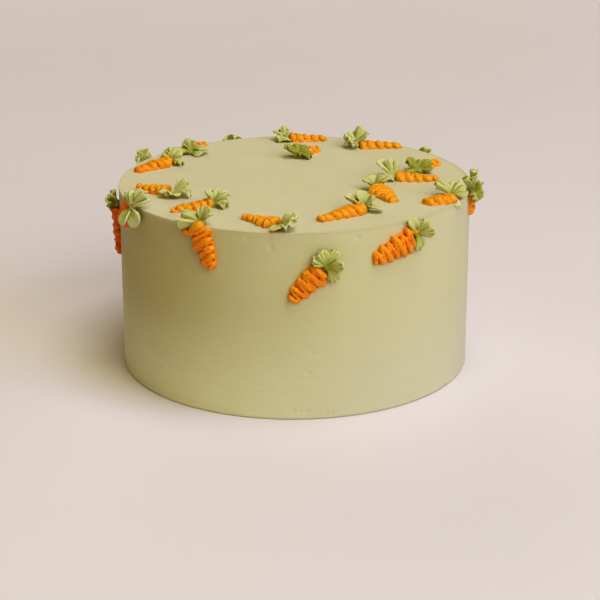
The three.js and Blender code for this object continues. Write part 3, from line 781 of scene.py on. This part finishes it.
def strand_path(carrot, dice):
    """The strand's middle along, across and up, and its half width and half height.

    phase counts the passes across the root, from 0 at the crown.
    """
    length = carrot["length"]
    smooth = carrot.get("smooth", 1)
    pitch = carrot.get("pitch", STRAND_PITCH)
    strand = STRAND_SHARE * pitch
    passes = round(2 * (length - strand) / pitch)
    phase = np.linspace(0, passes, passes * PASS_STEPS + 1)
    turns = np.arange(passes + 1)

    def uneven(amount):
        return np.interp(phase, turns, [dice.uniform(-amount, amount) for _ in turns])

    swing = np.arcsin(TURN_SHARPNESS * np.cos(math.pi * phase)) / math.asin(TURN_SHARPNESS)
    last_pass = passes - 1 + FIRST_PASS
    stations = [0, *np.linspace(FIRST_PASS, last_pass, passes)]
    steps = phase + TURN_SHARE * np.sin(2 * math.pi * phase) / (2 * math.pi)
    part = np.interp(steps, turns, stations) / last_pass
    along = mix(strand, length - strand * TIP_ROOM, part) + uneven(UNEVEN_PACE)
    half, rise = root_taper(carrot, along)
    full = smooth_step(half, THIN_HALF, FULL_HALF)
    thick = strand * mix(THIN_SHARE, 1, full)
    edge = np.maximum(half * (1 + LOBE_DEPTH) - thick, LEAST_SWING)
    across = swing * edge * (1 + uneven(UNEVEN_SWING))
    high = STRAND_RISE * mix(THIN_RISE_SHARE, 1, full)
    lead = smooth * LEAD_RISE * np.sin(math.pi * phase)
    middle = rise - high - TURN_DROP * np.abs(swing) ** 3 * half + lead + uneven(UNEVEN_RISE)
    ends = np.sqrt(1 - np.clip(1 - np.minimum(phase, passes - phase) * 4, 0, 0.98) ** 2)
    return along, across, middle, thick * (1 + uneven(UNEVEN_THICKNESS)) * ends, high * ends


def add_strand(lump, face, carrot, dice):
    """The squeezed strand, a ring swept along its path."""
    along, across, middle, wide, high = strand_path(carrot, dice)
    ahead, aside = np.gradient(along), np.gradient(across)
    size = np.hypot(ahead, aside)
    ring = np.linspace(0, 2 * math.pi, STRAND_SIDES, endpoint=False)
    out = wide[:, None] * np.cos(ring)
    lump.add_tube(root_point(
        face, carrot,
        along[:, None] - out * (aside / size)[:, None],
        across[:, None] + out * (ahead / size)[:, None],
        middle[:, None] + high[:, None] * np.sin(ring),
    ))


def add_core(lump, face, carrot):
    """The icing under and between the strand's turns, down into the cake's icing."""
    smooth = carrot.get("smooth", 1)
    along = np.linspace(0.7, carrot["length"] - 0.6, CORE_RINGS)
    half, rise = root_taper(carrot, along)
    ends = np.sqrt(1 - (np.abs(np.linspace(-1, 1, CORE_RINGS)) ** 8) * 0.9)
    half = np.maximum(half - 0.1 - 0.2 * smooth, 0.5) * ends
    rise = rise * (0.95 - 0.3 * smooth) * ends
    ring = np.linspace(0, math.pi, CORE_SIDES)
    across = half[:, None] * np.sign(np.cos(ring)) * np.abs(np.cos(ring)) ** 0.8
    up = rise[:, None] * np.sin(ring) ** 0.8 - SINK
    rings = root_point(face, carrot, np.broadcast_to(along[:, None], up.shape), across, up)
    lump.add_tube(rings[:, ::-1])


def add_tail(lump, face, carrot):
    """The strand's loose end, a short bar that sticks out beside the crown."""
    toward, length, start, beside = carrot["tail"]
    turn = math.radians(toward - carrot["heading"])
    part = np.linspace(0, 1, TAIL_RINGS)
    ends = np.sqrt(1 - np.clip(part * 4 - 3, 0, 0.97) ** 2)
    reach = part * length
    ring = np.linspace(0, 2 * math.pi, STRAND_SIDES, endpoint=False)
    across = TAIL_HALF * ends[:, None] * np.cos(ring)
    up = TAIL_RISE + TAIL_HIGH * ends[:, None] * np.sin(ring)
    lump.add_tube(root_point(
        face, carrot,
        start + reach[:, None] * math.cos(turn) - across * math.sin(turn),
        beside + reach[:, None] * math.sin(turn) + across * math.cos(turn),
        up,
    ))


def make_root(name, face, carrot, finish, dice):
    """A root: strand, core and loose end in one skin."""
    lump = Lump()
    add_strand(lump, face, carrot, dice)
    add_core(lump, face, carrot)
    if "tail" in carrot:
        add_tail(lump, face, carrot)
    piece = lump.skin(name + "_strand", ROOT_VOXEL, 1)
    roughen(piece)
    mark_creases(piece)
    finish_piece(piece, finish, name + "_root")


# ---- Leaves --------------------------------------------------------------------------------------

def leaf_seat(face, carrot):
    """The hub's place, and the icing's two flat ways and its way out there."""
    x, y = face.crown(carrot["at"])
    hub_right, hub_up = carrot.get("hub", (0, 0))
    turn = math.radians(carrot["heading"])
    place, normal, lean, outward = face.lay(np.float64(x - HUB_BACK * math.cos(turn) + hub_right),
                                            np.float64(y - HUB_BACK * math.sin(turn) + hub_up))
    right, up = face.axes(normal, lean, outward)
    return place + normal * HUB_RISE, right, up, normal


def petal_form(reach, spread, pleats, dice):
    """A petal's grid: how far each point lies ahead of the hub, to its left and above it.

    Pleats deepen towards the rounded edge, and fine ridges run along the petal.
    """
    shell = abs(pleats) < 2
    width = min(math.radians(spread * (SHELL_LAP if shell else RUFFLE_LAP)), math.pi * 0.9)
    side = np.linspace(-1, 1, 2 * round(reach * width / PETAL_COLUMN) + 1)[None, :]
    ridges = max(2, round(reach * width / RIDGE_PITCH))
    ridge = np.abs(np.sin(math.pi * ridges * side / 2 + dice.uniform(0, 3))) ** 0.7
    ridge = ridge * smooth_step(PETAL_PARTS, 0.1, 0.75) * dice.uniform(*RIDGE_STRENGTH)
    rounding = SHELL_ROUNDING if shell else RUFFLE_ROUNDING
    end = reach * (1 - rounding * np.abs(side) ** 2.5) * (0.93 + 0.07 * ridge)
    run = PETAL_PARTS * end
    angle = side * width / 2
    if shell:
        roll = SHELL_ROLL * abs(pleats)
        radius = run * math.sin(width / 2) / roll
        sideways = radius * np.sin(side * roll)
        fold = -math.copysign(1, pleats) * radius * (1 - np.cos(side * roll))
        angle = angle * 0.6
    else:
        turns = math.pi * pleats * side / 2 + dice.uniform(-PLEAT_SHIFT, PLEAT_SHIFT)
        sideways = run * np.sin(angle)
        fold = PLEAT_DEPTH / abs(pleats) ** 0.7 * run * (2 * np.abs(np.cos(turns)) ** 0.6 - 1)
    curl = dice.uniform(*CURL) * reach * PETAL_PARTS ** 3
    twist = dice.uniform(-TWIST, TWIST) * run * side
    return run * np.cos(angle), sideways, fold + RIDGE_DEPTH * ridge + curl + twist


def add_petal(lump, seat, petal, dice):
    """A petal, thick at the hub and thin at its edge, that rests on the icing where it comes down to it."""
    hub, right, up, normal = seat
    toward, tilt, reach, spread, pleats = petal
    turn, lean = math.radians(toward), math.radians(tilt)
    flat = right * math.cos(turn) + up * math.sin(turn)
    ahead = flat * math.cos(lean) + normal * math.sin(lean)
    left = up * math.cos(turn) - right * math.sin(turn)
    above = normal * math.cos(lean) - flat * math.sin(lean)
    forward, sideways, lift = petal_form(reach, spread, pleats, dice)
    middle = hub + (forward[..., None] * ahead + sideways[..., None] * left + lift[..., None] * above)
    way = np.cross(np.gradient(middle, axis=0), np.gradient(middle, axis=1))
    way /= np.linalg.norm(way, axis=-1, keepdims=True)
    half = mix(HUB_THICKNESS, EDGE_THICKNESS, PETAL_PARTS)[..., None] / 2
    upper = rest(middle + way * half, 2 * half[..., 0] - SINK)
    lower = rest(middle - way * half, -SINK)
    lump.add_sheet(upper, lower)


def add_hub(lump, seat):
    """The pinch where the petals meet, pressed down on the icing."""
    hub, right, up, normal = seat
    turns = np.linspace(0, 2 * math.pi, HUB_SIDES, endpoint=False)[:, None]
    circle = np.cos(turns) * right + np.sin(turns) * up
    lump.add_tube(np.array([hub + normal * lift + circle * size for lift, size in HUB_RINGS]))


def make_leaf(name, face, carrot, finish, dice):
    """A leaf: hub and petals in one skin."""
    seat = leaf_seat(face, carrot)
    lump = Lump()
    add_hub(lump, seat)
    for petal in carrot["leaf"]:
        add_petal(lump, seat, petal, dice)
    piece = lump.skin(name + "_ruffle", LEAF_VOXEL, 1)
    longest = max(petal[2] for petal in carrot["leaf"])
    outward = np.linalg.norm(get_points(piece.data) - seat[0], axis=-1) / longest
    mark_points(piece, "outward", outward - carrot.get("deep", 0))
    mark_creases(piece)
    finish_piece(piece, finish, name + "_leaf")


# ---- Stage ---------------------------------------------------------------------------------------

# Lengths here are metres, and the camera's turns are radians.
FLOOR_REACH = 40.0
CAMERA_PLACE = (0, -0.99225, 0.38937)
CAMERA_PITCH = 0.3447
CAMERA_YAW = 0.003
CAMERA_ROLL = -0.0035
LENS = 106.58
SENSOR = 36
LAMP_DISTANCE = 3.8
LAMP_SIZE = 2.2
ROOM_COLOUR = (1, 0.76, 0.06)
ROOM_STRENGTH = 0.15


def make_floor():
    """A plain floor that reaches past the horizon of every view."""
    mesh = bpy.data.meshes.new("floor")
    corners = [(x * FLOOR_REACH, y * FLOOR_REACH, 0) for x, y in ((-1, -1), (1, -1), (1, 1), (-1, 1))]
    mesh.from_pydata(corners, [], [(0, 1, 2, 3)])
    floor = bpy.data.objects.new("floor", mesh)
    bpy.context.scene.collection.objects.link(floor)
    mesh.materials.append(floor_finish())


def make_camera():
    """A camera a little above the cake, looking down on it."""
    level_share = math.cos(CAMERA_PITCH)
    ahead = Vector((math.sin(CAMERA_YAW) * level_share, math.cos(CAMERA_YAW) * level_share,
                    -math.sin(CAMERA_PITCH)))
    level = Vector((math.cos(CAMERA_YAW), -math.sin(CAMERA_YAW), 0))
    rise = level.cross(ahead)
    right = level * math.cos(CAMERA_ROLL) + rise * math.sin(CAMERA_ROLL)
    up = rise * math.cos(CAMERA_ROLL) - level * math.sin(CAMERA_ROLL)
    turn = Matrix((right, up, -ahead)).transposed()
    camera = bpy.data.objects.new("camera", bpy.data.cameras.new("camera"))
    camera.data.lens = LENS
    camera.data.sensor_width = SENSOR
    camera.matrix_world = Matrix.Translation(CAMERA_PLACE) @ turn.to_4x4()
    bpy.context.scene.collection.objects.link(camera)
    bpy.context.scene.camera = camera


def add_light(name, azimuth, elevation, power, colour, gloss=True):
    """A soft square light that faces the cake. Without gloss it leaves no sheen on the icing."""
    light = bpy.data.objects.new(name, bpy.data.lights.new(name, "AREA"))
    light.data.size = LAMP_SIZE
    light.data.energy = power
    light.data.color = colour
    turn, rise = math.radians(azimuth), math.radians(elevation)
    way = Vector((math.cos(turn) * math.cos(rise), math.sin(turn) * math.cos(rise), math.sin(rise)))
    target = Vector((0, 0, CAKE_HEIGHT / 2 * MM))
    light.location = target + way * LAMP_DISTANCE
    light.rotation_euler = way.to_track_quat("Z", "Y").to_euler()
    light.visible_glossy = gloss
    bpy.context.scene.collection.objects.link(light)


def make_light():
    """Four soft lamps in a dim, warm room."""
    add_light("front_lamp", -66, 32, 41, (0.98, 1, 0.45))
    add_light("window", -30, 32, 48, (0.50, 0.6, 1))
    add_light("ceiling", -35, 77, 66, (0.92, 0.97, 1))
    add_light("back_lamp", 108, 22, 26, (1, 0.97, 0.85), gloss=False)
    world = bpy.data.worlds.new("room")
    bpy.context.scene.world = world
    world.use_nodes = True
    room = world.node_tree.nodes["Background"]
    room.inputs["Color"].default_value = (*ROOM_COLOUR, 1)
    room.inputs["Strength"].default_value = ROOM_STRENGTH
    bpy.context.scene.view_settings.view_transform = "Standard"
    bpy.context.scene.view_settings.look = "High Contrast"


def main():
    """Sets the stage, then makes the cake and every carrot on it."""
    make_camera()
    make_light()
    make_floor()
    make_cake(icing_finish())
    orange, green = carrot_finish(), leaf_finish()
    carrots = [(Top(), carrot) for carrot in TOP_CARROTS] + [(Side(), carrot) for carrot in SIDE_CARROTS]
    for number, (face, carrot) in enumerate(carrots, 1):
        name = f"carrot_{number:02d}"
        dice = random.Random(number)
        make_root(name, face, carrot, orange, dice)
        make_leaf(name, face, carrot, green, dice)


main()
